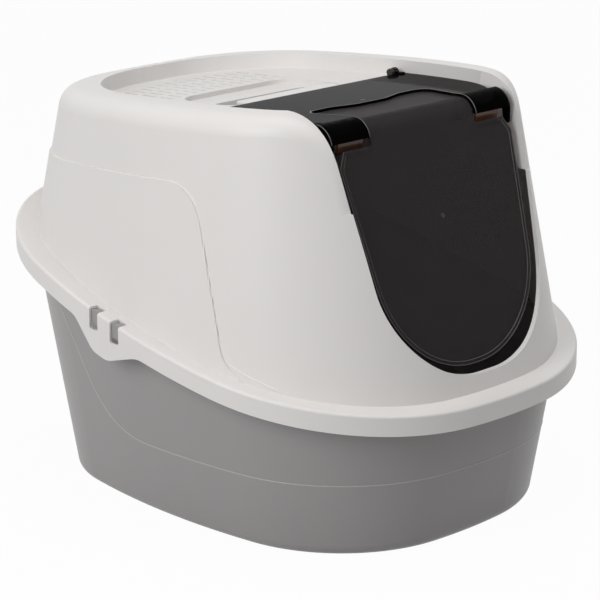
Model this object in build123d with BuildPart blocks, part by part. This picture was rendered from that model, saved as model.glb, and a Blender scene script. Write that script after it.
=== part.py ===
"""Covered litter box: a tapered pan, a hood that lifts off it, a smoked lid with a hanging flap, and a filter.

Lengths are in millimetres.  X is the width, Y the depth with the entry facing -Y, Z is up.
The origin is on the floor, below the middle of the rim.
"""
from build123d import *
import os
from dataclasses import dataclass
from math import atan2, cos, degrees, radians, sin, sqrt, tan

# Overall size
half_length = 280.0  # rim of the hood, front and rear of the origin
half_width = 236.0  # rim of the hood, at its widest
top_height = 410.0  # top of the raised edge, above the origin
top_tilt = 3.65  # the top falls this many degrees towards the rear

# Rim where the hood sits on the pan: high at the rear, low at the entry
rim_front = 148.6  # height at the front
rim_middle = 202.5
rim_rear = 279.5
skirt_height = 19.6
wall = 2.4  # moulded wall of the hood and the pan
fit_gap = 0.3  # between pieces that seat on each other
edge_round = 2.6  # outer edge of the rim

# Pan
pan_draft = 9.1  # degrees, wall leaning outwards
pan_bottom_round = 12.0
pan_step_height = 75.0  # lower edge of the thicker upper band
pan_step = 1.8
band_turn = 70.0  # depth where the step's line leaves the level and climbs
band_climb = 132.0
band_climb_height = 190.0
lip_depth = 13.0  # turned-down edge of the pan's own flange
hook_drop = 1.5  # top of a hook below the rim's top
hook_gap = 0.45  # each side of a hook in its slot
hook_depth = 12.5

# Hood
hood_foot = 140.0  # height at which the wall's lower outline is drawn
deck_drop = 15.5  # raised edge down to the deck
deck_flare = 2.0  # the deck's wall leans outwards by this much
shoulder_round = 22.0  # outer edge of the top
shoulder_zone = 75.0  # the edges to round lie this far below the top or less
solid_behind = 66.0  # solid part of the front corners: its length behind the corner
solid_depth = 23.0
solid_step = 7.0
solid_knee = 56.0
solid_front = 12.0
solid_low = 90.0
panel_step = 1.8
panel_rear = 324.0  # height of the thicker panel's upper edge at the rear
panel_front = -56.0  # depth and height of its upper corner
panel_height = 348.0
panel_knee = -109.0  # depth and height where its edge turns towards the rim
panel_knee_height = 190.0
panel_end = -165.0
ear_front = -18.0  # the skirt dips into an ear between these depths
ear_y = 36.0
ear_rear = 75.0
ear_depth = 42.0  # lowest point, below the rim's top
slot_width = 12.6
slot_pitch = 31.0
slot_y = 29.0  # midway between a side's two slots
slot_drop = 19.5  # below the rim's top
slot_reach = 12.0  # inwards over the rim's top
slot_round = 2.2

# Entry: a round bottom between sides that lean apart upwards
entry_bottom = 168.0
entry_middle = 250.0  # height of the first half width below
entry_half_middle = 0.483 * half_width
entry_half_top = 0.564 * half_width  # at the top of the hood
entry_round = 0.998  # share of the half width at the entry's bottom
entry_start = 120.0  # the opening is cut forwards from here
corner_y = -168.5  # where the top would meet the front, beside the opening
corner_lean = 14.0  # degrees, front of the pillars
corner_round = 60.0  # seen from the side
flap_tilt = 18.4  # degrees from vertical

# Lid
lid_back = 0.0  # rear edge of the lid
lid_plate = 3.0
lid_side_gap = 1.6
seat_gap = 0.2  # between the lid and the deck it rests on
deck_opening_half = 0.47 * half_width
deck_opening_back = -11.0
lid_hinge_y = 4.5
lid_hinge_rise = 4.6  # axis above the deck
lid_barrel_radius = 4.2
lid_barrel_width = 5.0
lid_barrel_x = 0.6 * half_width
lid_lug_width = 4.6
pin_radius = 2.0
pin_clearance = 0.06

# Flap hinge
knuckle_radius = 20.0
roll_radius = 17.6
flap_plate = 2.4
roll_half = 72.0
knuckle_gap = 1.5
knuckle_end = entry_half_top - 8
knuckle_web = 3.0
knuckle_stop = 170.0  # the knuckles end at this angle, from the rear up over the top
web_radius = 5.5
flap_axis_y = -147.4
flap_length = 233.0  # from the hinge axis down to the lower edge
flap_spring = 143.5  # down to where the round lower end begins
flap_half_top = entry_half_top - 10.5
flap_half_bottom = flap_half_top - 14.5
flap_neck_half = flap_half_top - 11.5
flap_neck_drop = 25.0
flap_top_drop = 10.5  # side parts of the flap start this far down the plate
flap_bevel = 4.0
bead_rise = 0.9
flap_round = 1.06  # share of the half width at the flap's bottom
tongue_long = 57.0  # crests of the tongue's rear edge, behind the axis
tongue_short = 48.0
tongue_half = 82.0

# Finger grip and vents in the deck
grip_half = 79.0  # shallow bowl behind the bar
grip_front = 6.0
grip_back = 100.0
grip_depth = 4.8
grip_round = 28.0
tub_half = 70.0  # deeper tub for the fingers, in the bowl
tub_front = 10.0
tub_back = 62.0
tub_depth = 22.0
tub_round = 17.0
bar_back = 28.0
bar_half = 66.0
bar_rise = 1.4
bar_round = 10.0
vent_slot = 1.8
vent_length = 20.0
vent_rows = 3
vent_columns = 13
vent_pitch = 13.0
vent_row_pitch = 28.0
vent_front = 122.0  # middle of the first row
vent_bend = 250.0  # radius that the rows follow

# Filter and its cover
filter_half = 86.0
filter_front = 116.0
filter_back = 190.0
filter_thickness = 9.0
cover_wall = 1.8
window_bar = 5.0
cover_gap = 0.5
cover_hinge_y = 109.5
cover_hinge_drop = 6.0
cover_barrel_x = 60.0
cover_lug_width = 4.0
cover_barrel_width = 8.0
cover_barrel_radius = 3.6
lug_radius = 3.4
press_gap = 0.02


@dataclass
class Oval:
    """A plan outline of eight arcs that run into one another, the same on both sides of the Y axis."""

    half_width: float
    front: float
    rear: float
    front_radius: float
    front_corner: float
    side_radius: float
    rear_corner: float
    rear_radius: float
    side_y: float


far = half_length + 40  # beyond the part on every side


def in_shares(width, *lengths):
    """An outline given in shares of the rim's half width and half length."""
    return Oval(width * half_width, *[share * half_length for share in lengths])


rim_oval = in_shares(1, 1, 1, 2.007, 0.704, 2.850, 0.582, 3.371, 0.018)
foot_oval = in_shares(0.952, 0.934, 1.023, 1.946, 0.654, 2.786, 0.536, 3.304, 0.029)
top_oval = in_shares(0.797, 0.709, 0.857, 8.929, 0.500, 2.014, 0.470, 2.636, 0.039)
deck_oval = in_shares(0.636, 0.660, 0.757, 8.929, 0.393, 1.964, 0.446, 2.500, 0.039)
pan_oval = in_shares(0.784, 0.848, 0.774, 1.821, 0.518, 2.661, 0.400, 3.179, -0.021)


def far_meeting(first, first_reach, second, second_reach):
    """The point at a given distance from each of two centres, on the +X side."""
    gap = second - first
    along = (gap.length**2 + first_reach**2 - second_reach**2) / (2 * gap.length)
    across = sqrt(first_reach**2 - along**2)
    step = gap.normalized()
    foot = first + step * along
    sideways = Vector(-step.Y, step.X) * across
    return foot + sideways if (foot + sideways).X > (foot - sideways).X else foot - sideways


def bearing(start, end):
    return degrees(atan2(end.Y - start.Y, end.X - start.X))


def oval_sketch(oval, inset=0.0):
    """The outline, drawn in by inset all round."""
    front = Vector(0, oval.front_radius - oval.front)
    side = Vector(oval.half_width - oval.side_radius, oval.side_y)
    rear = Vector(0, oval.rear - oval.rear_radius)
    front_corner = far_meeting(
        front, oval.front_radius - oval.front_corner, side, oval.side_radius - oval.front_corner
    )
    rear_corner = far_meeting(
        rear, oval.rear_radius - oval.rear_corner, side, oval.side_radius - oval.rear_corner
    )
    start = bearing(front, front_corner)
    low = bearing(side, front_corner)
    high = bearing(side, rear_corner)
    end = bearing(rear, rear_corner)
    with BuildSketch() as outline:
        with BuildLine():
            CenterArc(front, oval.front_radius - inset, -180 - start, 2 * start + 180)
            CenterArc(front_corner, oval.front_corner - inset, start, low - start)
            CenterArc(side, oval.side_radius - inset, low, high - low)
            CenterArc(rear_corner, oval.rear_corner - inset, high, end - high)
            CenterArc(rear, oval.rear_radius - inset, end, 180 - 2 * end)
            CenterArc((-rear_corner.X, rear_corner.Y), oval.rear_corner - inset, 180 - end, end - high)
            CenterArc((-side.X, side.Y), oval.side_radius - inset, 180 - high, high - low)
            CenterArc((-front_corner.X, front_corner.Y), oval.front_corner - inset, 180 - low, low - start)
        make_face()
    return outline.sketch


def skin(low, low_plane, low_inset, high, high_plane, high_inset):
    """A solid whose side runs straight from one outline up to another."""
    lower = low_plane * oval_sketch(low, low_inset)
    upper = high_plane * oval_sketch(high, high_inset)
    return loft([lower, upper], ruled=True)


def prism(oval, inset, low, high):
    return extrude(Plane.XY.offset(low) * oval_sketch(oval, inset), high - low)


def under_rim(rise):
    """Everything below the rim's top, raised by rise."""
    with BuildSketch(Plane.YZ) as area:
        with BuildLine():
            ThreePointArc((-far, rim_height(-far) + rise), (0, rim_middle + rise), (far, rim_height(far) + rise))
            Polyline((far, rim_height(far) + rise), (far, -50), (-far, -50), (-far, rim_height(-far) + rise))
        make_face()
    return extrude(area.sketch, far, both=True)


def rim_height(y):
    """Height of the rim's top at a depth, on the circle through its three given heights."""
    span = (rim_rear - rim_front) / (2 * half_length)
    sag = (rim_front + rim_rear) / 2 - rim_middle
    return rim_middle + span * y + sag * (y / half_length) ** 2


def tilted(rise):
    """The plane of the hood's top, moved by rise along its own normal."""
    lean = radians(top_tilt)
    normal = Vector(0, sin(lean), cos(lean))
    return Plane(Vector(0, 0, top_height) + normal * rise, x_dir=(1, 0, 0), z_dir=normal)


def top_z(y, rise=0.0):
    return top_height + rise / cos(radians(top_tilt)) - y * tan(radians(top_tilt))


def side_block(points, rounds, reach=far):
    """A prism along X on an outline in the YZ plane; rounds gives each corner's radius."""
    with BuildSketch(Plane.YZ) as area:
        with BuildLine():
            FilletPolyline(*points, radius=rounds, close=True)
        make_face()
    return extrude(area.sketch, reach, both=True)


os.makedirs("parts", exist_ok=True)
deck = -deck_drop
pan_rise = 300.0
spread = pan_rise * tan(radians(pan_draft))
high_pan = Plane.XY.offset(pan_rise)

# Pan: a tapered tub with a thicker band above a step, a flange and hooks for the hood's slots
flange_top = -wall - fit_gap  # below the rim's top
pan_skin = skin(pan_oval, Plane.XY, 0, pan_oval, high_pan, -spread)
pan_band = skin(pan_oval, Plane.XY, -pan_step, pan_oval, high_pan, -spread - pan_step)
band_area = side_block(
    [
        (-far, pan_step_height),
        (band_turn, pan_step_height),
        (band_climb, band_climb_height),
        (band_climb + 18, pan_rise),
        (-far, pan_rise),
    ],
    [0, 95, 0, 0, 0],
)
pan_hollow = skin(pan_oval, Plane.XY.offset(wall), wall, pan_oval, high_pan, wall - spread)
with BuildPart() as pan_inside:
    add(pan_hollow)
    fillet(pan_inside.faces().sort_by(Axis.Z)[0].edges(), pan_bottom_round - wall)
rim_inside = prism(rim_oval, wall + fit_gap, rim_front - 90, pan_rise)
lip_inside = prism(rim_oval, 2 * wall + fit_gap, rim_front - 100, pan_rise)
below_flange = under_rim(flange_top)
below_lip = under_rim(flange_top - lip_depth)
below_plate = under_rim(flange_top - wall)


def slot_tongue(y, half, low, high, tip):
    """An upright bar along X near the rim, round at its top where tip is true."""
    with BuildSketch(Plane.YZ.offset(half_width - slot_reach)) as outline:
        with BuildLine():
            if tip:
                Polyline((y - half, high - half), (y - half, low), (y + half, low), (y + half, high - half))
                ThreePointArc((y + half, high - half), (y, high), (y - half, high - half))
            else:
                FilletPolyline(
                    (y - half, high),
                    (y - half, low),
                    (y + half, low),
                    (y + half, high),
                    radius=[0, slot_round, slot_round, 0],
                    close=True,
                )
        make_face()
    return extrude(outline.sketch, 2 * slot_reach)


def hook_bar(y):
    """A round-topped hook that stands on the pan's flange inside one of the hood's slots."""
    top = rim_height(y) - hook_drop
    bar = slot_tongue(y, slot_width / 2 - hook_gap, top - hook_depth, top, True)
    return Pos(fit_gap, 0, 0) * bar & rim_inside


hooks = [hook_bar(slot_y + side * slot_pitch / 2) for side in (-1, 1)]
hooks = hooks + [mirror(hook, about=Plane.YZ) for hook in hooks]

with BuildPart() as base_tray:
    add(pan_skin)
    fillet(base_tray.faces().sort_by(Axis.Z)[0].edges(), pan_bottom_round)
    add(pan_band & band_area)
    add(rim_inside - below_lip)
    add(pan_inside.part, mode=Mode.SUBTRACT)
    add(lip_inside & below_plate - pan_skin, mode=Mode.SUBTRACT)
    add(below_flange, mode=Mode.INTERSECT)
    for hook in hooks:
        add(hook)
base_tray.part.label = "base_tray"
export_step(base_tray.part, "parts/base_tray.step")

# Hood: outer wall, raised edge round a sunk deck, flange and skirt over the pan, entry and lid opening
foot = Plane.XY.offset(hood_foot)
shell_skin = skin(foot_oval, foot, 0, top_oval, tilted(0), 0)
panel_skin = skin(foot_oval, foot, -panel_step, top_oval, tilted(0), -panel_step)
panel_area = side_block(
    [
        (far, rim_front - 50),
        (far, panel_rear),
        (panel_front, panel_height),
        (panel_knee, panel_knee_height),
        (panel_end, rim_height(panel_end) - 15),
        (panel_end, rim_front - 50),
    ],
    [0, 0, 50, 40, 0, 0],
)
inner_skin = skin(foot_oval, Plane.XY.offset(hood_foot - 40), wall - 5.5, top_oval, tilted(-wall), wall)
deck_pan = skin(deck_oval, tilted(deck - wall), -wall, deck_oval, tilted(5), -wall - deck_flare)
deck_recess = skin(deck_oval, tilted(deck), 0, deck_oval, tilted(5), -deck_flare)
opening_middle = (deck_opening_back - far) / 2
lid_opening = extrude(
    tilted(deck - 30) * Pos(0, opening_middle) * Rectangle(2 * deck_opening_half, deck_opening_back + far), 60
)

# The top turns down towards the entry in a rounded corner, seen from the side
corner_z = top_z(corner_y)
corner_fall = 1.5 * corner_round
corner_keep = side_block(
    [
        (far, top_z(far)),
        (corner_y, corner_z),
        (corner_y - corner_fall * tan(radians(corner_lean)), corner_z - corner_fall),
        (-far, corner_z - corner_fall),
        (-far, 0),
        (far, 0),
    ],
    [0, corner_round, 0, 0, 0, 0],
)
solid_rear = corner_y + solid_behind
upper_low = tilted(-shoulder_round)
lower_hollow = inner_skin - extrude(upper_low * Rectangle(2 * far, 2 * far), 60)
lower_hollow = lower_hollow - side_block(
    [
        (solid_rear, corner_z),
        (solid_rear, corner_z - solid_depth),
        (corner_y + solid_step, corner_z - solid_knee),
        (corner_y - solid_front, corner_z - solid_low),
        (-far, corner_z - solid_low),
        (-far, corner_z),
    ],
    [0, 0, 0, 0, 0, 0],
)
upper_hollow = skin(top_oval, upper_low, wall - 3.5, top_oval, tilted(-wall), shoulder_round - 3)
upper_hollow = upper_hollow & (Pos(0, solid_rear + far, top_height) * Box(2 * far, 2 * far, 2 * far))

# Skirt: its lower edge follows the rim and dips into an ear over the two slots
skirt_low = -skirt_height
ear_points = [(-60, 0), (ear_front, 0), (ear_y - 11, 1), (ear_y + 11, 1), (ear_rear, 0), (110, 0), (110, -1), (-60, -1)]
ear_block = side_block(
    [(y, rim_height(y) + skirt_low - (ear_depth - skirt_height) * low) for y, low in ear_points],
    [0, 30, 24, 22, 22, 0, 0, 0],
)
skirt_waste = under_rim(skirt_low) - ear_block
rim_plate = prism(rim_oval, 0, rim_front - 90, rim_rear + 50)
below_rim = under_rim(0)
rim_hollow = prism(rim_oval, wall, rim_front - 110, rim_rear + 50) & under_rim(-wall)


def slot_cut(y):
    return slot_tongue(y, slot_width / 2, rim_height(y) - slot_drop, rim_height(y) + 20, False)


slots = [slot_cut(slot_y + side * slot_pitch / 2) for side in (-1, 1)]
slots = slots + [mirror(slot, about=Plane.YZ) for slot in slots]


def entry_outline(grow):
    """The entry seen from the front: a round bottom and sides that lean apart upwards."""
    lean = (entry_half_top - entry_half_middle) / (top_height - entry_middle)
    low = entry_half_middle + grow - lean * (entry_middle - entry_bottom)
    high = low + lean * (top_height + 40 - entry_bottom)
    with BuildSketch(Plane.XZ.offset(entry_start)) as outline:
        with BuildLine():
            FilletPolyline(
                (-high, top_height + 40),
                (-low, entry_bottom - grow),
                (low, entry_bottom - grow),
                (high, top_height + 40),
                radius=[0, entry_round * low, entry_round * low, 0],
                close=True,
            )
        make_face()
    return outline.sketch


entry_cut = extrude(entry_outline(0), 200)
above_deck = extrude(tilted(deck - wall) * Rectangle(2 * far, 2 * far), 70)
entry_frame = extrude(entry_outline(wall), 200) & above_deck
hollows = [lower_hollow - deck_pan - entry_frame, upper_hollow - deck_pan - entry_frame]

with BuildPart() as hood_outer:
    add(shell_skin & corner_keep)
    upper_edges = hood_outer.edges().filter_by(lambda edge: edge.center().Z > corner_z - shoulder_zone)
    fillet(upper_edges.filter_by(GeomType.LINE, reverse=True), shoulder_round)

with BuildPart() as rim_outer:
    add(rim_plate)
    add(below_rim, mode=Mode.INTERSECT)
    rim_top = rim_outer.faces().sort_by(SortBy.AREA)[-1]
    fillet(rim_top.edges(), edge_round)

# Finger grip: a shallow bowl in the deck, a deeper tub for the fingers and a bar over the tub's front


def deck_pad(half, front, back, corner, low, high):
    """A block with rounded corners on the deck's slope, between two rises above the deck."""
    middle = tilted(deck + low) * Pos(0, (front + back) / 2)
    return extrude(middle * RectangleRounded(2 * half, back - front, corner), high - low)


bowl_outside = deck_pad(
    grip_half + wall, grip_front - wall, grip_back + wall, grip_round + wall, -grip_depth - wall, 0
)
bowl_inside = deck_pad(grip_half, grip_front, grip_back, grip_round, -grip_depth, 5)
tub_outside = deck_pad(
    tub_half + wall, tub_front - wall, tub_back + wall, tub_round + wall, -tub_depth - wall, -grip_depth - 1
)
tub_inside = deck_pad(tub_half, tub_front, tub_back, tub_round, -tub_depth, -grip_depth + 1)
grip_bar = deck_pad(bar_half, lid_back + 2, bar_back, bar_round, -wall, bar_rise)

# Vents: short slots in rows that follow the rear of the rim
vent_places = [
    ((column - (vent_columns - 1) / 2) * vent_pitch, vent_front + row * vent_row_pitch)
    for row in range(vent_rows)
    for column in range(vent_columns)
]
vent_places = [(x, y - x * x / (2 * vent_bend)) for x, y in vent_places]
with BuildSketch(tilted(deck - wall - 1)) as vent_area:
    with Locations(*vent_places):
        Rectangle(vent_slot, vent_length)
vents = extrude(vent_area.sketch, wall + 2)


def across(x, y, rise, radius, length):
    """A cylinder along X that starts at x, at a depth y and a rise above the deck."""
    base = tilted(deck + rise).from_local_coords((x, y, 0))
    return extrude(Plane(base, x_dir=(0, 1, 0), z_dir=(1, 0, 0)) * Circle(radius), length)


def deck_box(x, y, rise, width, depth, height):
    """A box on the deck's slope, from its lowest corner."""
    middle = tilted(deck + rise) * Pos(x + width / 2, y + depth / 2)
    return extrude(middle * Rectangle(width, depth), height)


lug_x = lid_barrel_x - lid_barrel_width / 2 - fit_gap - lid_lug_width
lid_lug = deck_box(lug_x, lid_hinge_y - lug_radius, -0.5, lid_lug_width, 2 * lug_radius, lid_hinge_rise + 0.5)
lid_lug = lid_lug + across(lug_x, lid_hinge_y, lid_hinge_rise, lug_radius, lid_lug_width)
lid_lug = lid_lug - across(lug_x - 1, lid_hinge_y, lid_hinge_rise, pin_radius + press_gap, lid_lug_width + 2)
cover_lug_x = cover_barrel_x + cover_barrel_width / 2 + fit_gap
cover_axis = -wall - cover_hinge_drop
cover_lug = deck_box(
    cover_lug_x, cover_hinge_y - lug_radius, cover_axis, cover_lug_width, 2 * lug_radius, cover_hinge_drop + 1
)
cover_lug = cover_lug + across(cover_lug_x, cover_hinge_y, cover_axis, lug_radius, cover_lug_width)
cover_lug = cover_lug - across(
    cover_lug_x - 1, cover_hinge_y, cover_axis, pin_radius + press_gap, cover_lug_width + 2
)
lugs = [lid_lug, cover_lug, mirror(lid_lug, about=Plane.YZ), mirror(cover_lug, about=Plane.YZ)]

with BuildPart() as hood_shell:
    add(hood_outer.part)
    add(panel_skin & panel_area)
    add(rim_outer.part)
    add(skirt_waste, mode=Mode.SUBTRACT)
    add(rim_hollow, mode=Mode.SUBTRACT)
    for hollow in hollows:
        add(hollow, mode=Mode.SUBTRACT)
    add(deck_recess, mode=Mode.SUBTRACT)
    add(bowl_outside)
    add(tub_outside)
    add(bowl_inside, mode=Mode.SUBTRACT)
    add(tub_inside, mode=Mode.SUBTRACT)
    add(grip_bar)
    add(vents, mode=Mode.SUBTRACT)
    add(lid_opening, mode=Mode.SUBTRACT)
    add(entry_cut, mode=Mode.SUBTRACT)
    for lug in lugs:
        add(lug)
    for slot in slots:
        add(slot, mode=Mode.SUBTRACT)
hood_shell.part.label = "hood_shell"
export_step(hood_shell.part, "parts/hood_shell.step")

# Lid: a smoked plate with two rolled knuckles at the front and two hinge barrels at the rear
seat = deck + seat_gap
lid_outline = tilted(seat) * oval_sketch(deck_oval, lid_side_gap)
lid_blank = extrude(lid_outline, lid_plate)
axis_z = top_z(flap_axis_y, seat + lid_plate - knuckle_radius)
plate_front = flap_axis_y * cos(radians(top_tilt)) - (axis_z - top_height) * sin(radians(top_tilt))
lid_middle = (plate_front + lid_back) / 2
lid_blank = lid_blank & extrude(tilted(seat - 5) * Pos(0, lid_middle) * Rectangle(2 * far, lid_back - plate_front), 20)


def roll_sector(outer, start, end, x, length):
    """A slice of a cylinder round the flap's axis, its angles measured from +Y up over the top."""
    with BuildSketch(Plane.YZ.offset(x)) as slice_area:
        with BuildLine():
            angles = [radians(start), radians((start + end) / 2), radians(end)]
            points = [(flap_axis_y + outer * cos(turn), axis_z + outer * sin(turn)) for turn in angles]
            ThreePointArc(*points)
            Polyline(points[2], (flap_axis_y, axis_z), points[0])
        make_face()
    return extrude(slice_area.sketch, length)


def axis_rod(radius, x, length):
    """A cylinder on the flap's axis, along X."""
    base = Vector(x, flap_axis_y, axis_z)
    return extrude(Plane(base, x_dir=(0, 1, 0), z_dir=(1, 0, 0)) * Circle(radius), length)


roll_start = 90 - top_tilt
knuckle_length = knuckle_end - roll_half - knuckle_gap
knuckle_x = roll_half + knuckle_gap
knuckle = roll_sector(knuckle_radius, roll_start, knuckle_stop, knuckle_x, knuckle_length)
knuckle = knuckle - roll_sector(
    knuckle_radius - lid_plate,
    roll_start - 20,
    knuckle_stop + 20,
    knuckle_x + knuckle_web,
    knuckle_length - 2 * knuckle_web,
)
knuckle = knuckle + axis_rod(web_radius, knuckle_x, knuckle_web)
knuckle = knuckle - axis_rod(pin_radius + press_gap, knuckle_x - 1, knuckle_web + 2)
ear_plate = side_block(
    [
        (flap_axis_y - knuckle_radius + 0.6, axis_z + 4),
        (flap_axis_y - knuckle_radius + 0.6, axis_z - 13),
        (flap_axis_y - knuckle_radius + 7, axis_z - 13),
        (flap_axis_y - knuckle_radius + 9, axis_z + 4),
    ],
    [0, 2, 2, 0],
    knuckle_end,
)
ear_slab = ear_plate & (Pos(knuckle_end - knuckle_web / 2, 0, 300) * Box(knuckle_web, 600, 600))
knuckle = knuckle + ear_slab


def tongue_outline(grow):
    """The flap's tongue seen from above, behind its roll: two crests at the rear and a dip between them."""
    side = tongue_half + grow
    rear = flap_axis_y + tongue_long + grow
    dip = flap_axis_y + tongue_short + grow
    neck = roll_half + grow
    with BuildSketch() as outline:
        with BuildLine():
            right = [
                (neck, plate_front),
                (neck, flap_axis_y + 8 - grow),
                (side, rear),
                (side - 36, rear),
                (20, dip),
            ]
            rounds = [0, 20, 13, 26, 30]
            left = [(-x, y) for x, y in reversed(right)]
            FilletPolyline(*right, *left, radius=rounds + rounds[::-1], close=True)
        make_face()
    return outline.sketch


tongue_hole = extrude(tilted(seat - 6) * tongue_outline(knuckle_gap), 20)
lid_arm = deck_box(
    lid_barrel_x - lid_barrel_width / 2, lid_back - 8, seat_gap, lid_barrel_width, lid_hinge_y - lid_back + 8, lid_hinge_rise
)
lid_arm = lid_arm + across(
    lid_barrel_x - lid_barrel_width / 2, lid_hinge_y, lid_hinge_rise, lid_barrel_radius, lid_barrel_width
)
lid_bore = across(
    lid_barrel_x - lid_barrel_width / 2 - 1, lid_hinge_y, lid_hinge_rise, pin_radius + pin_clearance, lid_barrel_width + 2
)
lid_arm = lid_arm - lid_bore
with BuildPart() as top_lid:
    add(lid_blank)
    add(tongue_hole, mode=Mode.SUBTRACT)
    for piece in (knuckle, lid_arm):
        add(piece)
        add(mirror(piece, about=Plane.YZ))
top_lid.part.label = "top_lid"
export_step(top_lid.part, "parts/top_lid.step")

# Flap: a roll round the hinge axis, a tongue behind it and a flat U-shaped plate below
lean = radians(flap_tilt)
flap_face = Plane(
    Vector(0, flap_axis_y, axis_z), x_dir=(1, 0, 0), z_dir=(0, -cos(lean), sin(lean))
)


def flap_outline(shrink):
    """The flap's plate, drawn down from the level of its axis."""
    slope = (flap_half_top - flap_half_bottom) / flap_spring
    low = flap_half_top - slope * flap_length - shrink
    turn = flap_round * (low + shrink) - shrink
    shoulder_x = flap_half_top - slope * flap_neck_drop - shrink
    with BuildSketch() as outline:
        with BuildLine():
            FilletPolyline(
                (-flap_neck_half + shrink / 2, -flap_top_drop - shrink),
                (-shoulder_x, -flap_neck_drop - shrink / 2),
                (-low, -flap_length + shrink),
                (low, -flap_length + shrink),
                (shoulder_x, -flap_neck_drop - shrink / 2),
                (flap_neck_half - shrink / 2, -flap_top_drop - shrink),
                radius=[0, 4, turn, turn, 4, 0],
                close=True,
            )
        make_face()
    return outline.sketch


roll_end = 180 - flap_tilt
plate_back = roll_radius - flap_plate
plate = extrude(Plane(flap_face.origin + flap_face.z_dir * plate_back, x_dir=(1, 0, 0), z_dir=flap_face.z_dir)
                * flap_outline(0), flap_plate)
bead_plane = Plane(flap_face.origin + flap_face.z_dir * (roll_radius - 0.5), x_dir=(1, 0, 0), z_dir=flap_face.z_dir)
bead = extrude(bead_plane * (flap_outline(0) - flap_outline(flap_bevel)), 0.5 + bead_rise)
bead = bead - (Pos(0, flap_axis_y - 20, axis_z) * Box(2 * roll_half, 40, 2 * (flap_top_drop + flap_bevel + 2)))
neck_plane = Plane(flap_face.origin + flap_face.z_dir * plate_back, x_dir=(1, 0, 0), z_dir=flap_face.z_dir)
neck = extrude(neck_plane * Pos(0, -flap_top_drop / 2 - 2) * Rectangle(2 * roll_half, flap_top_drop + 4), flap_plate)
roll = roll_sector(roll_radius, roll_start, roll_end, -roll_half, 2 * roll_half)
roll = roll - roll_sector(
    roll_radius - flap_plate, roll_start - 20, roll_end + 20, -roll_half + knuckle_web, 2 * roll_half - 2 * knuckle_web
)
caps = axis_rod(web_radius, roll_half - knuckle_web, knuckle_web) + axis_rod(web_radius, -roll_half, knuckle_web)
cap_bores = axis_rod(pin_radius + pin_clearance, -roll_half - 1, 2 * roll_half + 2)
tongue_top = seat + lid_plate - (knuckle_radius - roll_radius)
tongue = extrude(tilted(tongue_top - flap_plate) * tongue_outline(0), flap_plate)
with BuildPart() as flap_door:
    add(plate)
    add(neck)
    add(bead)
    add(roll)
    add(caps)
    add(tongue)
    add(cap_bores, mode=Mode.SUBTRACT)
flap_door.part.label = "flap_door"
export_step(flap_door.part, "parts/flap_door.step")

# Filter cover: a shallow tray hinged below the vents, holding the filter against the deck
depth = filter_thickness + cover_wall
cover_x = filter_half + cover_wall
cover_out = deck_box(
    -cover_x, filter_front - cover_wall, -wall - cover_gap - depth, 2 * cover_x,
    filter_back - filter_front + 2 * cover_wall, depth
)
cover_in = deck_box(
    -filter_half, filter_front, -wall - cover_gap - filter_thickness, 2 * filter_half,
    filter_back - filter_front, filter_thickness + 1
)
window_wide = (2 * filter_half - 5 * window_bar) / 4
window_deep = (filter_back - filter_front - 3 * window_bar) / 2
windows = [
    deck_box(
        -filter_half + window_bar + column * (window_wide + window_bar),
        filter_front + window_bar + row * (window_deep + window_bar),
        -wall - cover_gap - depth - 1, window_wide, window_deep, cover_wall + 2
    )
    for column in range(4)
    for row in range(2)
]
barrel_start = cover_barrel_x - cover_barrel_width / 2
cover_arm = across(barrel_start, cover_hinge_y, cover_axis, cover_barrel_radius, cover_barrel_width)
cover_arm = cover_arm + deck_box(
    barrel_start, cover_hinge_y, cover_axis - cover_barrel_radius, cover_barrel_width,
    filter_front - cover_wall + 0.5 - cover_hinge_y, 2 * cover_barrel_radius
)
cover_arm = cover_arm - across(
    barrel_start - 1, cover_hinge_y, cover_axis, pin_radius + pin_clearance, cover_barrel_width + 2
)
with BuildPart() as filter_cover:
    add(cover_out)
    add(cover_in, mode=Mode.SUBTRACT)
    for window in windows:
        add(window, mode=Mode.SUBTRACT)
    add(cover_arm)
    add(mirror(cover_arm, about=Plane.YZ))
filter_cover.part.label = "filter_cover"
export_step(filter_cover.part, "parts/filter_cover.step")

filter_block = deck_box(
    -filter_half + cover_gap, filter_front + cover_gap, -wall - cover_gap - filter_thickness,
    2 * (filter_half - cover_gap), filter_back - filter_front - 2 * cover_gap, filter_thickness - cover_gap
)
with BuildPart() as carbon_filter:
    add(filter_block)
carbon_filter.part.label = "carbon_filter"
export_step(carbon_filter.part, "parts/carbon_filter.step")

# Pins: two for the lid, two for the flap, two for the filter cover
pins = {
    "lid_pin": across(lug_x + 0.2, lid_hinge_y, lid_hinge_rise, pin_radius, lid_lug_width + lid_barrel_width - 0.1),
    "flap_pin": axis_rod(pin_radius, roll_half - knuckle_web + 0.2, 2 * knuckle_web + knuckle_gap - 0.4),
    "cover_pin": across(barrel_start + 0.2, cover_hinge_y, cover_axis, pin_radius, cover_barrel_width + cover_lug_width - 0.2),
}
for name, pin in pins.items():
    with BuildPart() as right_pin:
        add(pin)
    right_pin.part.label = name + "_right"
    export_step(right_pin.part, "parts/" + name + "_right.step")
    with BuildPart() as left_pin:
        add(mirror(pin, about=Plane.YZ))
    left_pin.part.label = name + "_left"
    export_step(left_pin.part, "parts/" + name + "_left.step")
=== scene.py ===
"""Covered litter box: finishes, small fittings, stage and camera for the fixed model frame."""
from math import cos, pi, radians, sin, tan

import bmesh
import bpy
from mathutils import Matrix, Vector
from mathutils.bvhtree import BVHTree


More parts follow.
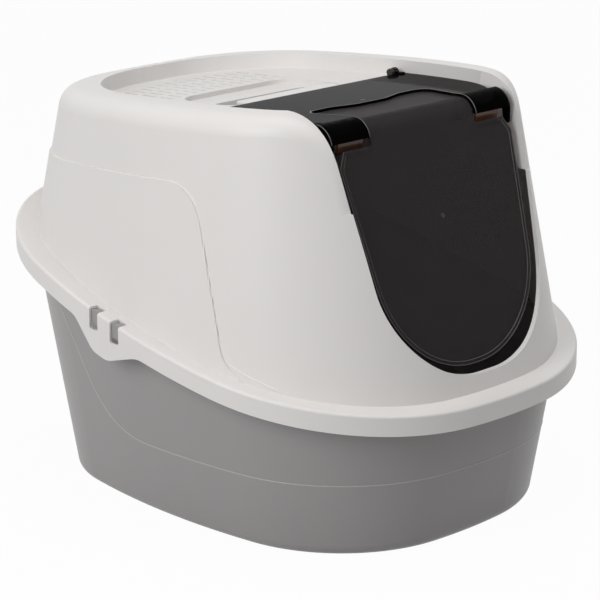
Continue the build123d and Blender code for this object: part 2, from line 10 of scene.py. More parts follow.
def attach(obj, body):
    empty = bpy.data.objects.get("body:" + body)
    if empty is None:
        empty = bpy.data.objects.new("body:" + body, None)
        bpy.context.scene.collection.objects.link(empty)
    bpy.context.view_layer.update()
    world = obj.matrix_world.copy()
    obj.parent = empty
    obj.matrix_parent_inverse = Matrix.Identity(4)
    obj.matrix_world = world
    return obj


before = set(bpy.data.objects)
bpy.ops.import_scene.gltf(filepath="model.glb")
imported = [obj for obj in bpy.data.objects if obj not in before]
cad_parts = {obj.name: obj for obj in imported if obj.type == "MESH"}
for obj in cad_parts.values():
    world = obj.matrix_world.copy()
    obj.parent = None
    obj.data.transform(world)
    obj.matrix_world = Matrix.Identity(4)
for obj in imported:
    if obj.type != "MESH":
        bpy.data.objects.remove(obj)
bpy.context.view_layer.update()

bl_info = {
    "name": "Covered litter box",
    "version": (1, 0, 0),
    "blender": (4, 5, 0),
    "location": "View3D > Sidebar > Litter box",
    "description": "Dresses a hooded litter box: moulded shells, smoked lid and flap, hinges, filter, plain stage",
    "category": "Object",
}

# Places and sizes of the moulded pieces that the small fittings sit on, in metres
TOP_TILT = radians(3.65)
TOP_HEIGHT = 0.410
DECK_DROP = 0.0155
LID_RISE = 0.0032  # the lid's upper face above the sunk deck
LID_TOP = -DECK_DROP + LID_RISE
FLAP_TILT = radians(18.4)
FLAP_AXIS = (-0.1474, 0.3870371)
KNUCKLE_RADIUS = 0.0200
ROLL_RADIUS = 0.0176
KNUCKLE_INNER = 0.0735
KNUCKLE_OUTER = 0.1251
LID_HINGE = (0.1416, 0.003797, 0.3988356)
BARREL_WIDTH = 0.005
LUG_START = 0.1342
LUG_WIDTH = 0.0046
PAN_STEP = 0.075  # lower edge of the pan's thicker band
PANEL_CORNER = (-0.056, 0.348)  # front upper corner of the hood's raised panel, back and up
PANEL_SLOPE = 24 / 376  # how steeply the panel's upper edge falls to the rear
LAP = 0.0002  # how far a fitting laps into or past the piece that carries it


def deck_point(x, y, rise):
    """A place on the hood's sloping top, at a rise above the top's own plane."""
    along = y * cos(TOP_TILT) + rise * sin(TOP_TILT)
    return Vector((x, along, TOP_HEIGHT + rise * cos(TOP_TILT) - y * sin(TOP_TILT)))


def flap_point(x, down, out):
    """A place on the flap's plate, down from its axis and out from it to the front."""
    y = FLAP_AXIS[0] - down * sin(FLAP_TILT) - out * cos(FLAP_TILT)
    z = FLAP_AXIS[1] - down * cos(FLAP_TILT) + out * sin(FLAP_TILT)
    return Vector((x, y, z))


def panel_top(y):
    """Height of the upper edge of the hood's raised panel."""
    return PANEL_CORNER[1] - (y - PANEL_CORNER[0]) * PANEL_SLOPE


# Sizes and colours a user would change


class ShellFinish(bpy.types.PropertyGroup):
    hood_colour: bpy.props.FloatVectorProperty(
        name="Hood", description="Off-white of the hood", subtype="COLOR", size=3, min=0, max=1,
        default=(0.745, 0.722, 0.708),
    )
    pan_colour: bpy.props.FloatVectorProperty(
        name="Pan", description="Grey of the pan", subtype="COLOR", size=3, min=0, max=1,
        default=(0.312, 0.300, 0.299),
    )
    grain_size: bpy.props.FloatProperty(
        name="Grain", description="Width of the mould's spark grain", default=0.0011, unit="LENGTH"
    )
    grain_height: bpy.props.FloatProperty(
        name="Grain height", description="Height of the spark grain", default=0.00004, unit="LENGTH"
    )


class SmokedFinish(bpy.types.PropertyGroup):
    lid_colour: bpy.props.FloatVectorProperty(
        name="Lid", description="Smoke tint of the lid", subtype="COLOR", size=3, min=0, max=1,
        default=(0.022, 0.020, 0.0195),
    )
    flap_colour: bpy.props.FloatVectorProperty(
        name="Flap", description="Smoke tint of the flap", subtype="COLOR", size=3, min=0, max=1,
        default=(0.175, 0.158, 0.162),
    )
    # Grey of the polished beads, lighter than the black plastic: a painted highlight on top of the beads' own
    # gloss.
    edge_highlight_colour: bpy.props.FloatVectorProperty(
        name="Edges", description="Tone of the polished edges", subtype="COLOR", size=3, min=0, max=1,
        default=(0.075, 0.074, 0.074),
    )
    # Amber of the knuckle ribs: a painted glow of light shining through the smoked plastic.
    rib_glow_colour: bpy.props.FloatVectorProperty(
        name="Ribs", description="Amber of the smoked plastic seen edge on", subtype="COLOR", size=3, min=0, max=1,
        default=(0.115, 0.036, 0.010),
    )
    pin_colour: bpy.props.FloatVectorProperty(
        name="Pins", description="Black of the pins and hinge ridges", subtype="COLOR", size=3, min=0, max=1,
        default=(0.012, 0.012, 0.013),
    )


class FittingSizes(bpy.types.PropertyGroup):
    ridge_count: bpy.props.IntProperty(
        name="Ridges", description="Ridges round each rear barrel and lug", default=9, min=3
    )
    ridge_height: bpy.props.FloatProperty(
        name="Ridge height", description="How far a ridge stands out", default=0.0003, unit="LENGTH"
    )
    gate_radius: bpy.props.FloatProperty(
        name="Gate mark", description="Radius of a moulding gate's ring", default=0.0016, unit="LENGTH"
    )
    bead_radius: bpy.props.FloatProperty(
        name="Bead", description="Radius of the polished beads on the smoked edges", default=0.0006, unit="LENGTH"
    )
    step_radius: bpy.props.FloatProperty(
        name="Step bead", description="Radius of the bead along the shells' stepped panels", default=0.0006,
        unit="LENGTH",
    )


class StageLook(bpy.types.PropertyGroup):
    world_strength: bpy.props.FloatProperty(name="Sky", description="Strength of the surroundings", default=0.22)
    key_power: bpy.props.FloatProperty(
        name="Key lamp", description="Power of the lamp at the left", default=46.0, unit="POWER"
    )
    top_power: bpy.props.FloatProperty(
        name="Top lamp", description="Power of the lamp above", default=25.0, unit="POWER"
    )
    fill_power: bpy.props.FloatProperty(
        name="Fill lamp", description="Power of the lamp high in front", default=18.0, unit="POWER"
    )


# Small builders shared by the pieces


def linked_object(name, data):
    thing = bpy.data.objects.new(name, data)
    bpy.context.scene.collection.objects.link(thing)
    return thing


def new_material(name):
    material = bpy.data.materials.new(name)
    material.use_nodes = True
    nodes = material.node_tree.nodes
    return material, nodes, material.node_tree.links, nodes["Principled BSDF"]


def add_node(nodes, kind, place, inputs=None, **settings):
    """A node at a place on its sheet, with its settings and the values of its unlinked inputs."""
    node = nodes.new(kind)
    node.location = place
    for key, value in settings.items():
        setattr(node, key, value)
    for key, value in (inputs or {}).items():
        node.inputs[key].default_value = value
    return node


def wire(links, *pairs):
    """Join sockets two by two."""
    for giver, taker in pairs:
        links.new(giver, taker)


def frame_piece(node_name):
    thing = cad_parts[node_name]
    return bpy.data.objects[thing] if isinstance(thing, str) else thing


def clothe(node_name, material):
    thing = frame_piece(node_name)
    if not thing.material_slots:
        thing.data.materials.append(material)
    for spot in thing.material_slots:
        spot.material = material


# Materials, all laid out in the piece's own coordinates


def object_noise(nodes, links, place, scale, detail):
    spot = add_node(nodes, "ShaderNodeTexCoord", (place[0] - 250, place[1]))
    noise = add_node(nodes, "ShaderNodeTexNoise", place, {"Scale": scale, "Detail": detail})
    links.new(spot.outputs["Object"], noise.inputs["Vector"])
    return noise.outputs["Fac"]


def clouded(name, cloud, stops, tones, relief, bump, gloss):
    """A material whose tone and gloss follow a soft cloud over a fine relief.

    cloud and relief are the scale and the detail of their noise, gloss is the lowest and highest roughness.
    """
    material, nodes, links, shader = new_material(name)
    soft = object_noise(nodes, links, (-850, 150), *cloud)
    fine = object_noise(nodes, links, (-850, -250), *relief)
    tone = add_node(nodes, "ShaderNodeValToRGB", (-600, 250))
    for mark, stop, colour in zip(tone.color_ramp.elements, stops, tones):
        mark.position = stop
        mark.color = (*colour, 1)
    rough = add_node(nodes, "ShaderNodeMapRange", (-600, 0), {"To Min": gloss[0], "To Max": gloss[1]})
    raised = add_node(nodes, "ShaderNodeBump", (-350, -250), bump)
    wire(
        links,
        (soft, tone.inputs["Fac"]),
        (soft, rough.inputs["Value"]),
        (fine, raised.inputs["Height"]),
        (tone.outputs["Color"], shader.inputs["Base Color"]),
        (rough.outputs["Result"], shader.inputs["Roughness"]),
        (raised.outputs["Normal"], shader.inputs["Normal"]),
    )
    return material, shader.inputs


def shades(colour, mottle):
    """A little darker and a little lighter than a colour."""
    return [c * (1 - mottle) for c in colour], [min(1, c * (1 + mottle)) for c in colour]


def moulded_plastic(name, colour, roughness, grain, height, mottle):
    """Satin plastic from a spark-eroded mould: fine grain, a faint mottle and slightly uneven gloss."""
    material, inputs = clouded(
        name, cloud=(9, 5), stops=(0.3, 0.7), tones=shades(colour, mottle), relief=(1 / grain, 3),
        bump={"Strength": 0.35, "Distance": height}, gloss=(roughness - 0.05, roughness + 0.05),
    )
    inputs["IOR"].default_value = 1.49
    inputs["Specular IOR Level"].default_value = 0.42
    return material


def smoked_plastic(name, colour, roughness, index, clear):
    """See-through dark plastic, polished, with a faint flow ripple."""
    material, inputs = clouded(
        name, cloud=(60, 4), stops=(0, 1), tones=shades(colour, 0.06), relief=(22, 2),
        bump={"Strength": 0.12, "Distance": 0.0004}, gloss=(roughness - 0.03, roughness + 0.03),
    )
    inputs["IOR"].default_value = index
    inputs["Transmission Weight"].default_value = clear
    return material


def filter_felt(name):
    """Black carbon felt: short fibres one way and another, quite matte."""
    tones = (0.006, 0.006, 0.007), (0.05, 0.05, 0.052)
    fibres = (700, 6)
    return clouded(name, fibres, (0, 1), tones, fibres, {"Distance": 0.0006}, gloss=(0.9, 0.9))[0]


# Node trees for what repeats or follows an edge


def tree_with(name, inputs):
    """A new tree with a shape going in and out, and named inputs for its sizes."""
    tree = bpy.data.node_groups.new(name, "GeometryNodeTree")
    face = tree.interface
    face.new_socket("Shape", in_out="INPUT", socket_type="NodeSocketGeometry")
    for label, kind in (*inputs, ("Finish", "Material")):
        face.new_socket(label, in_out="INPUT", socket_type="NodeSocket" + kind)
    face.new_socket("Shape", in_out="OUTPUT", socket_type="NodeSocketGeometry")
    start = add_node(tree.nodes, "NodeGroupInput", (-1400, 0))
    return tree, tree.nodes, tree.links, start.outputs


def close_tree(tree, shape, finish):
    """End a tree: one real shape in its finish."""
    whole = add_node(tree.nodes, "GeometryNodeRealizeInstances", (500, 0))
    paint = add_node(tree.nodes, "GeometryNodeSetMaterial", (700, 0))
    end = add_node(tree.nodes, "NodeGroupOutput", (900, 0))
    wire(
        tree.links,
        (shape, whole.inputs["Geometry"]),
        (whole.outputs["Geometry"], paint.inputs["Geometry"]),
        (finish, paint.inputs["Material"]),
        (paint.outputs["Geometry"], end.inputs["Shape"]),
    )
    return tree


def bead_tree():
    """Rounds the corners of a path and runs a round bead along it."""
    tree, nodes, links, given = tree_with("moulded_bead", (("Bead radius", "Float"), ("Sides", "Int")))
    corner = add_node(nodes, "GeometryNodeInputRadius", (-1400, -200))
    fillet = add_node(nodes, "GeometryNodeFilletCurve", (-1100, 0), {"Count": 14}, mode="POLY")
    even = add_node(nodes, "GeometryNodeSetCurveRadius", (-850, 0), {"Radius": 1})
    ring = add_node(nodes, "GeometryNodeCurvePrimitiveCircle", (-850, -250))
    sweep = add_node(nodes, "GeometryNodeCurveToMesh", (-550, 0), {"Fill Caps": True})
    smooth = add_node(nodes, "GeometryNodeSetShadeSmooth", (-300, 0))
    wire(
        links,
        (given["Shape"], fillet.inputs["Curve"]),
        (corner.outputs[0], fillet.inputs["Radius"]),
        (fillet.outputs[0], even.inputs["Curve"]),
        (given["Sides"], ring.inputs["Resolution"]),
        (given["Bead radius"], ring.inputs["Radius"]),
        (even.outputs[0], sweep.inputs["Curve"]),
        (ring.outputs["Curve"], sweep.inputs["Profile Curve"]),
        (sweep.outputs[0], smooth.inputs[0]),
    )
    return close_tree(tree, smooth.outputs[0], given["Finish"])


def ridge_tree():
    """Turns each point of a shape into a short barrel along X with ridges round it."""
    tree, nodes, links, given = tree_with(
        "ridged_barrel", (("Radius", "Float"), ("Length", "Float"), ("Ridges", "Int"), ("Ridge height", "Float"))
    )
    sides = add_node(nodes, "ShaderNodeMath", (-1150, -150), {1: 8}, operation="MULTIPLY")
    barrel = add_node(nodes, "GeometryNodeMeshCylinder", (-900, -100))
    place = add_node(nodes, "GeometryNodeInputPosition", (-1400, -400))
    split = add_node(nodes, "ShaderNodeSeparateXYZ", (-1200, -400))
    turn = add_node(nodes, "ShaderNodeMath", (-1000, -400), operation="ARCTAN2")
    many = add_node(nodes, "ShaderNodeMath", (-800, -400), operation="MULTIPLY")
    wave = add_node(nodes, "ShaderNodeMath", (-600, -400), operation="SINE")
    tall = add_node(nodes, "ShaderNodeMath", (-400, -400), operation="MULTIPLY")
    way = add_node(nodes, "ShaderNodeVectorMath", (-800, -650), {1: (1, 1, 0)}, operation="MULTIPLY")
    unit = add_node(nodes, "ShaderNodeVectorMath", (-600, -650), operation="NORMALIZE")
    push = add_node(nodes, "ShaderNodeVectorMath", (-200, -500), operation="SCALE")
    shape = add_node(nodes, "GeometryNodeSetPosition", (-100, -100))
    lay = add_node(nodes, "GeometryNodeTransform", (100, -100), {"Rotation": (0, pi / 2, 0)})
    spread = add_node(nodes, "GeometryNodeInstanceOnPoints", (300, 0))
    wire(
        links,
        (given["Ridges"], sides.inputs[0]),
        (sides.outputs[0], barrel.inputs["Vertices"]),
        (given["Radius"], barrel.inputs["Radius"]),
        (given["Length"], barrel.inputs["Depth"]),
        (place.outputs[0], split.inputs[0]),
        (split.outputs["Y"], turn.inputs[0]),
        (split.outputs["X"], turn.inputs[1]),
        (turn.outputs[0], many.inputs[0]),
        (given["Ridges"], many.inputs[1]),
        (many.outputs[0], wave.inputs[0]),
        (wave.outputs[0], tall.inputs[0]),
        (given["Ridge height"], tall.inputs[1]),
        (place.outputs[0], way.inputs[0]),
        (way.outputs[0], unit.inputs[0]),
        (unit.outputs[0], push.inputs[0]),
        (tall.outputs[0], push.inputs["Scale"]),
        (barrel.outputs["Mesh"], shape.inputs["Geometry"]),
        (push.outputs[0], shape.inputs["Offset"]),
        (shape.outputs[0], lay.inputs["Geometry"]),
        (given["Shape"], spread.inputs["Points"]),
        (lay.outputs[0], spread.inputs["Instance"]),
    )
    return close_tree(tree, spread.outputs[0], given["Finish"])


def shared_tree(name, maker):
    return bpy.data.node_groups.get(name) or maker()


# Small builders for the fittings


def riding_piece(name, mesh, body):
    """A mesh in the scene that moves with a body, in the finish its mesh already carries."""
    piece = linked_object(name, mesh)
    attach(piece, body)


def settle(name, maker, tree, values, body):
    """Run a tree on an object, keep the result as a plain mesh and let it ride on a body."""
    change = maker.modifiers.new("tree", "NODES")
    change.node_group = tree
    for item in tree.interface.items_tree:
        if item.in_out == "INPUT" and item.name in values:
            change[item.identifier] = values[item.name]
    seen = maker.evaluated_get(bpy.context.evaluated_depsgraph_get())
    mesh = bpy.data.meshes.new_from_object(seen)
    maker.modifiers.clear()
    bpy.data.objects.remove(maker)
    riding_piece(name, mesh, body)


def bead(name, paths, radius, material, body, closed=False):
    """Beads of one radius along paths of (place, corner radius)."""
    data = bpy.data.curves.new(name, "CURVE")
    data.dimensions = "3D"
    for path in paths:
        line = data.splines.new("POLY")
        line.points.add(len(path) - 1)
        for point, (place, turn) in zip(line.points, path):
            point.co = (*place, 1)
            point.radius = turn
        line.use_cyclic_u = closed
    rail = linked_object(name + "_rail", data)
    values = {"Bead radius": radius, "Sides": 8, "Finish": material}
    settle(name, rail, shared_tree("moulded_bead", bead_tree), values, body)


def round_flap_axis(x, radius, turn):
    """A place round the flap's axis, at an angle from the rear up over the top."""
    return Vector((x, FLAP_AXIS[0] + radius * cos(turn), FLAP_AXIS[1] + radius * sin(turn)))


def turns_between(start, end, count):
    """Angles in even steps between two given in degrees."""
    return [radians(start + (end - start) * step / count) for step in range(count + 1)]


def edge_arc(x, radius, start, end):
    return [(round_flap_axis(x, radius, turn), 0) for turn in turns_between(start, end, 16)]


def mirrored(path):
    return [(Vector((-place[0], place[1], place[2])), turn) for place, turn in path]


def both_sides(path):
    """A path on the right that goes on to its mirror image on the left."""
    return path + mirrored(path)[::-1]


def outer_wall(node_name):
    """Function that finds where a ray from outside meets a moulded shell."""
    tree = BVHTree.FromObject(frame_piece(node_name), bpy.context.evaluated_depsgraph_get())

    def meet(origin, aim):
        return tree.ray_cast(Vector(origin), Vector(aim).normalized())[0]

    return meet


def rounded_line(points, rounds, gap):
    """Places every gap along straight runs joined by round corners, in two dimensions."""
    places = [Vector(points[0])]
    for before, corner, after, turn in zip(points, points[1:], points[2:], rounds):
        corner = Vector(corner)
        back = (Vector(before) - corner).normalized()
        ahead = (Vector(after) - corner).normalized()
        half = back.angle(ahead) / 2
        reach = turn / tan(half)
        first, last = corner + back * reach, corner + ahead * reach
        steps = max(2, int(turn * (pi - 2 * half) / gap))
        for step in range(steps + 1):
            share = step / steps
            rest = 1 - share
            places.append(rest ** 2 * first + 2 * share * rest * corner + share ** 2 * last)
    places.append(Vector(points[-1]))
    even = [places[0]]
    for place in places[1:]:
        run = place - even[-1]
        count = max(1, int(run.length / gap))
        even += [even[-1] + run * (step + 1) / count for step in range(count)]
    return even


def arc_rib(name, spans, turns, radius, thick, material, body):
    """Curved ribs round the flap's axis, one for each span of x."""
    shape = bmesh.new()
    inside = radius - thick
    for low, high in spans:
        corners = ((low, radius), (high, radius), (high, inside), (low, inside))
        rings = []
        for turn in turns:
            rings.append([shape.verts.new(round_flap_axis(x, reach, turn)) for x, reach in corners])
        for near, far in zip(rings, rings[1:]):
            for side in range(4):
                shape.faces.new((near[side], near[side - 1], far[side - 1], far[side]))
        shape.faces.new(rings[0])
        shape.faces.new(rings[-1][::-1])
    bmesh.ops.recalc_face_normals(shape, faces=shape.faces)
    mesh = bpy.data.meshes.new(name)
    shape.to_mesh(mesh)
    shape.free()
    mesh.materials.append(material)
    riding_piece(name, mesh, body)


# Pieces


class LITTER_OT_shells(bpy.types.Operator):
    """Give the pan, the hood and the filter cover their satin moulded finish"""

    bl_idname = "litter.shells"
    bl_label = "Pan and hood"

    def execute(self, context):
        look = context.scene.litter_shells
        grain = {"grain": look.grain_size, "height": look.grain_height}
        hood = moulded_plastic("hood_satin", look.hood_colour, roughness=0.42, mottle=0.012, **grain)
        pan = moulded_plastic("pan_satin", look.pan_colour, roughness=0.4, mottle=0.02, **grain)
        clothe("base_tray", pan)
        clothe("hood_shell", hood)
        clothe("filter_cover", hood)
        return {"FINISHED"}


class LITTER_OT_smoked(bpy.types.Operator):
    """Give the lid, the flap and the pins their smoked and black plastic"""

    bl_idname = "litter.smoked"
    bl_label = "Lid and flap"

    def execute(self, context):
        look = context.scene.litter_smoked
        clothe("top_lid", smoked_plastic("lid_smoke", look.lid_colour, roughness=0.06, index=1.03, clear=0.93))
        flap = smoked_plastic("flap_smoke", look.flap_colour, roughness=0.2, index=1.02, clear=0.82)
        clothe("flap_door", flap)
        pin = moulded_plastic(
            "pin_black", look.pin_colour, roughness=0.35, grain=0.0008, height=0.00003, mottle=0.1
        )
        for name in ("lid_pin", "flap_pin", "cover_pin"):
            for side in ("_left", "_right"):
                clothe(name + side, pin)
        return {"FINISHED"}


class LITTER_OT_filter(bpy.types.Operator):
    """Give the filter its carbon felt"""

    bl_idname = "litter.filter"
    bl_label = "Filter"

    def execute(self, context):
        clothe("carbon_filter", filter_felt("carbon_felt"))
        return {"FINISHED"}


class LITTER_OT_step_beads(bpy.types.Operator):
    """Run a fine bead along the edge of the hood's raised panel and the pan's thicker band, in lighter copies of
    their finishes that paint a highlight on the step
    """

    bl_idname = "litter.step_beads"
    bl_label = "Step beads"

    def execute(self, context):
        look = context.scene.litter_shells
        radius = context.scene.litter_fittings.step_radius
        smooth = {"roughness": 0.3, "grain": look.grain_size, "height": look.grain_height / 4, "mottle": 0.02}
        # Lighter copies of the hood and pan finishes: painted highlight along the step edges, added to the light
        # that the bead's roundness catches.
        hood = moulded_plastic("hood_edge_highlight", [min(1, c * 1.08) for c in look.hood_colour], **smooth)
        pan = moulded_plastic("pan_edge_highlight", [min(1, c * 1.5) for c in look.pan_colour], **smooth)
        gap = 0.006
        # Both edges as seen from the side: back and up, then the radii of their corners
        band_edge = [(0, PAN_STEP), (0.070, PAN_STEP), (0.132, 0.190), (0.1405, 0.214)]
        band = rounded_line(band_edge, [0.095, 0.02], gap)
        front = self.around("base_tray", band, lambda y: PAN_STEP, range(0, 181, 3), radius)
        bead("pan_step_bead", [front], radius, pan, "pan")
        side_end = 0.100
        panel_edge = [(-0.1635, 0.171), (-0.109, 0.190), PANEL_CORNER, (side_end, panel_top(side_end))]
        panel = rounded_line(panel_edge, [0.040, 0.050], gap)[::-1]
        rear = self.around("hood_shell", panel, panel_top, range(0, -181, -3), radius)
        bead("hood_panel_bead", [rear], radius, hood, "hood")
        return {"FINISHED"}

    def around(self, node_name, side, height, angles, radius):
        """A path along the right side, round one end of the shell and back along the left side.

        side holds the places seen from the side, height gives the edge's height round the end, and angles
        go from the right over the front, or over the rear where they are negative.
        """
        meet = outer_wall(node_name)
        outside = 0.6
        inset = radius * 0.15  # how deep a bead's middle lies in the wall
        right = []
        for y, z in side[::-1]:
            place = meet((outside, y, z), (-1, 0, 0))
            if place is not None:
                right.append(place - Vector((inset, 0, 0)))
        start = right.pop()
        end = []
        for angle in angles:
            turn = radians(angle)
            aim = Vector((cos(turn), -sin(turn), 0))
            z = height(start.y)
            for _ in range(3):  # the height depends on how far back the wall is met
                place = meet(Vector((0, start.y, z)) + aim * outside, -aim)
                if place is None:
                    raise RuntimeError(f"{node_name} has no wall at {angle} degrees for its step bead")
                z = height(place.y)
            end.append(place - aim * inset)
        left = [Vector((-place.x, place.y, place.z)) for place in right[::-1]]
        return [(place, 0) for place in right + end + left]


class LITTER_OT_polished_edges(bpy.types.Operator):
    """Give the lid and the flap the polished beads that catch the light along their edges, in a grey that adds
    painted highlight to their gloss
    """

    bl_idname = "litter.polished_edges"
    bl_label = "Polished edges"

    def execute(self, context):
        look = context.scene.litter_smoked
        radius = context.scene.litter_fittings.bead_radius
        # The beads' grey paints a highlight along the edges, and their gloss catches the real light.
        shine = moulded_plastic(
            "smoke_edge_highlight", look.edge_highlight_colour, roughness=0.16, grain=0.004, height=0.00003, mottle=0.3
        )
        reach = KNUCKLE_RADIUS - LAP
        room = 0.0008  # keeps the bead out of the flap's way as it swings
        # Right half of the cut that holds the flap's tongue: x, y and corner radius, from the knuckle inwards
        corners = (
            (0.0743, -0.1409, 0.020), (0.0843, -0.0881, 0.013), (0.0472, -0.0881, 0.026), (0.0197, -0.0971, 0.030),
        )
        half = [(deck_point(x, y, LID_TOP - LAP), turn) for x, y, turn in corners]
        tongue = both_sides(edge_arc(KNUCKLE_INNER + room, reach, start=168, end=90) + half)
        outer = edge_arc(KNUCKLE_OUTER - radius / 2, reach, start=88, end=170)
        bead("lid_edge_bead", [tongue, outer, mirrored(outer)], radius, shine, "lid")
        rims = [self.flap_rim(inset=0.0005, out=0.0183), self.flap_rim(inset=0.0041, out=0.0181)]
        bead("flap_edge_bead", rims, radius * 0.75, shine, "flap")
        return {"FINISHED"}

    def flap_rim(self, inset, out):
        """The flap's outline, drawn in by inset, at a distance in front of its axis."""
        # Right half, from the top down: half width, distance down and corner radius
        right = (
            (0.1111 - inset / 2, 0.0105 + inset, 0),
            (0.1201 - inset, 0.025 + inset / 2, 0.004),
            (0.0991 - inset, 0.233 - inset, 0.105 - inset),
        )
        return both_sides([(flap_point(x, down, out), turn) for x, down, turn in right])


class LITTER_OT_gate_marks(bpy.types.Operator):
    """Set the small rings that the mould's gates leave on the lid and the flap, in a lighter tone that paints
    their highlight
    """

    bl_idname = "litter.gate_marks"
    bl_label = "Gate marks"

    def execute(self, context):
        look = context.scene.litter_smoked
        size = context.scene.litter_fittings.gate_radius
        # The rings are lighter than the edge beads: a painted highlight on the gate marks.
        tone = [c * 1.6 for c in look.edge_highlight_colour]
        shine = moulded_plastic("gate_shine", tone, roughness=0.2, grain=0.003, height=0.00003, mottle=0.3)
        lid_y = -0.086
        flap_down = 0.0898
        ring = [(size * cos(step * pi / 8), size * sin(step * pi / 8)) for step in range(16)]
        lid = [(deck_point(x, lid_y + y, LID_TOP), 0) for x, y in ring]
        flap = [(flap_point(x, flap_down + down, ROLL_RADIUS), 0) for x, down in ring]
        bead("lid_gate_mark", [lid], size / 5, shine, "lid", closed=True)
        bead("flap_gate_mark", [flap], size / 5, shine, "flap", closed=True)
        return {"FINISHED"}


class LITTER_OT_hinges(bpy.types.Operator):
    """Put ridged black sleeves on the lid's rear barrels and lugs, and amber ribs inside its knuckles that paint
    the glow of light through the smoked plastic
    """

    bl_idname = "litter.hinges"
    bl_label = "Hinges"

    def execute(self, context):
        look = context.scene.litter_smoked
        sizes = context.scene.litter_fittings
        fine = {"roughness": 0.3, "height": 0.00003}
        black = moulded_plastic("hinge_black", look.pin_colour, grain=0.0008, mottle=0.1, **fine)
        lug_middle = LUG_START + LUG_WIDTH / 2
        rows = (  # name, place across, radius, length, body and slot
            ("barrel_ridges", LID_HINGE[0], 0.00425, BARREL_WIDTH - LAP / 2, "lid", "lid"),
            ("lug_caps", lug_middle - LAP, 0.00375, LUG_WIDTH + 2 * LAP, "hood", "pin"),
        )
        for name, x, radius, length, body, slot in rows:
            mesh = bpy.data.meshes.new(name)
            mesh.from_pydata([(-x, *LID_HINGE[1:]), (x, *LID_HINGE[1:])], [], [])
            maker = linked_object(name + "_points", mesh)
            values = {
                "Radius": radius, "Length": length, "Ridges": sizes.ridge_count,
                "Ridge height": sizes.ridge_height, "Finish": black,
            }
            settle(name, maker, shared_tree("ridged_barrel", ridge_tree), values, body)
        # The amber ribs are painted glow: they stand in for light shining through the smoked plastic under and
        # beside the knuckles.
        amber = moulded_plastic("rib_painted_glow", look.rib_glow_colour, grain=0.0015, mottle=0.4, **fine)
        spans = [(0.0790, 0.1120), (0.1256, 0.1286)]  # under the knuckle and beside it, where the ribs paint the glow of light through the smoked plastic
        spans += [(-high, -low) for low, high in spans]
        turns = turns_between(138, 216, 14)
        arc_rib("knuckle_ribs", spans, turns, 0.0148, 0.0014, amber, "lid")
        return {"FINISHED"}


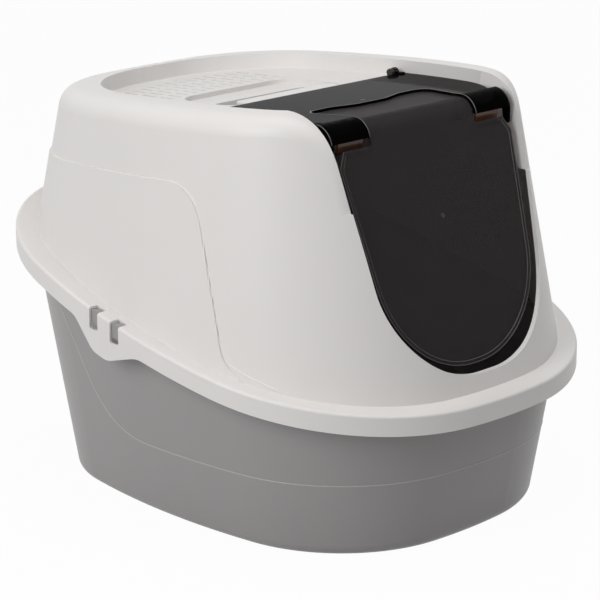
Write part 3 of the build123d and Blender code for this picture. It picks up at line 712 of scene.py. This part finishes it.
class LITTER_OT_stage(bpy.types.Operator):
    """Set the floor, the lamps, the surroundings and the camera"""

    bl_idname = "litter.stage"
    bl_label = "Stage"

    def execute(self, context):
        look = context.scene.litter_stage
        self.floor()
        self.sky(look.world_strength)
        self.lamp("key_lamp", (-2.673, 0, 1.562), look.key_power)
        self.lamp("top_lamp", (0, -0.05, 3.2), look.top_power)
        self.lamp("fill_lamp", (0.26, -1.477, 2.8), look.fill_power)
        self.camera()
        return {"FINISHED"}

    def floor(self):
        mesh = bpy.data.meshes.new("floor")
        reach = 12
        corners = [(-reach, -reach, 0), (reach, -reach, 0), (reach, reach, 0), (-reach, reach, 0)]
        mesh.from_pydata(corners, [], [(0, 1, 2, 3)])
        floor = linked_object("floor", mesh)
        material, nodes, links, shader = new_material("floor_white")
        shader.inputs["Base Color"].default_value = (0.6, 0.6, 0.6, 1)
        shader.inputs["Roughness"].default_value = 0.9
        shader.inputs["Specular IOR Level"].default_value = 0
        glow = add_node(nodes, "ShaderNodeEmission", (0, -400))
        share = add_node(nodes, "ShaderNodeMath", (-300, -400), {1: 0.97}, operation="MULTIPLY")
        links.new(self.shown_ray(nodes, links), share.inputs[0])
        self.blend(
            nodes, links, share.outputs[0], shader.outputs["BSDF"], glow.outputs["Emission"],
            nodes["Material Output"],
        )
        mesh.materials.append(material)

    def sky(self, strength):
        world = bpy.data.worlds.new("surroundings")
        bpy.context.scene.world = world
        world.use_nodes = True
        nodes = world.node_tree.nodes
        links = world.node_tree.links
        light = nodes["Background"]
        light.inputs["Color"].default_value = (1, 1, 1, 1)
        light.inputs["Strength"].default_value = strength
        white = add_node(nodes, "ShaderNodeBackground", (0, -200), {"Color": (1, 1, 1, 1), "Strength": 1})
        shown = self.shown_ray(nodes, links)
        self.blend(
            nodes, links, shown, light.outputs["Background"], white.outputs["Background"],
            nodes["World Output"],
        )

    def blend(self, nodes, links, share, plain, shown, output):
        """Show one shader for most rays and the other for the share of rays that show the backdrop."""
        mix = add_node(nodes, "ShaderNodeMixShader", (300, 0))
        wire(
            links,
            (share, mix.inputs["Fac"]),
            (plain, mix.inputs[1]),
            (shown, mix.inputs[2]),
            (mix.outputs["Shader"], output.inputs["Surface"]),
        )

    def shown_ray(self, nodes, links):
        """One for a ray that shows the backdrop: seen straight, in a gloss or through the smoked plastic."""
        path = add_node(nodes, "ShaderNodeLightPath", (-900, 300))
        gloss = add_node(nodes, "ShaderNodeMath", (-700, 300), operation="MAXIMUM")
        clear = add_node(nodes, "ShaderNodeMath", (-500, 300), operation="MAXIMUM")
        wire(
            links,
            (path.outputs["Is Camera Ray"], gloss.inputs[0]),
            (path.outputs["Is Glossy Ray"], gloss.inputs[1]),
            (gloss.outputs[0], clear.inputs[0]),
            (path.outputs["Is Transmission Ray"], clear.inputs[1]),
        )
        return clear.outputs[0]

    def lamp(self, name, place, power):
        """A round lamp, turned to the middle of the part."""
        data = bpy.data.lights.new(name, "AREA")
        data.shape = "DISK"
        data.size = 2
        data.energy = power
        lamp = linked_object(name, data)
        lamp.location = place
        aim = Vector((0, 0, 0.2)) - Vector(place)
        lamp.rotation_euler = aim.to_track_quat("-Z", "Y").to_euler()

    def camera(self):
        """The view of the photograph: turn, rise, distance and lens fit the object's edges there."""
        turn = radians(-44.86)
        rise = radians(16.48)
        distance = 2.43465
        target = Vector((0, 0, 0.18362))
        away = Vector((sin(turn) * cos(rise), -cos(turn) * cos(rise), sin(rise)))
        data = bpy.data.cameras.new("view")
        data.lens = 143.87
        data.sensor_width = 36
        data.shift_x = 0.0007
        camera = linked_object("view", data)
        camera.location = target + away * distance
        camera.rotation_euler = (-away).to_track_quat("-Z", "Y").to_euler()
        bpy.context.scene.camera = camera
        bpy.context.scene.view_settings.view_transform = "Standard"


class LITTER_PT_panel(bpy.types.Panel):
    bl_label = "Litter box"
    bl_idname = "LITTER_PT_panel"
    bl_space_type = "VIEW_3D"
    bl_region_type = "UI"
    bl_category = "Litter box"

    def draw(self, context):
        for label in GROUPS:
            group = getattr(context.scene, label)
            box = self.layout.box()
            for name in group.__annotations__:
                box.prop(group, name)
        for name in STEPS:
            self.layout.operator("litter." + name)


STEPS = ("shells", "smoked", "filter", "step_beads", "polished_edges", "gate_marks", "hinges", "stage")

GROUPS = {
    "litter_shells": ShellFinish,
    "litter_smoked": SmokedFinish,
    "litter_fittings": FittingSizes,
    "litter_stage": StageLook,
}

CLASSES = (
    *GROUPS.values(),
    LITTER_OT_shells,
    LITTER_OT_smoked,
    LITTER_OT_filter,
    LITTER_OT_step_beads,
    LITTER_OT_polished_edges,
    LITTER_OT_gate_marks,
    LITTER_OT_hinges,
    LITTER_OT_stage,
    LITTER_PT_panel,
)


def register():
    for item in CLASSES:
        bpy.utils.register_class(item)
    for label, group in GROUPS.items():
        setattr(bpy.types.Scene, label, bpy.props.PointerProperty(type=group))


def unregister():
    for label in GROUPS:
        delattr(bpy.types.Scene, label)
    for item in reversed(CLASSES):
        bpy.utils.unregister_class(item)


def main():
    register()
    for name in STEPS:
        getattr(bpy.ops.litter, name)()


if __name__ == "__main__":
    main()
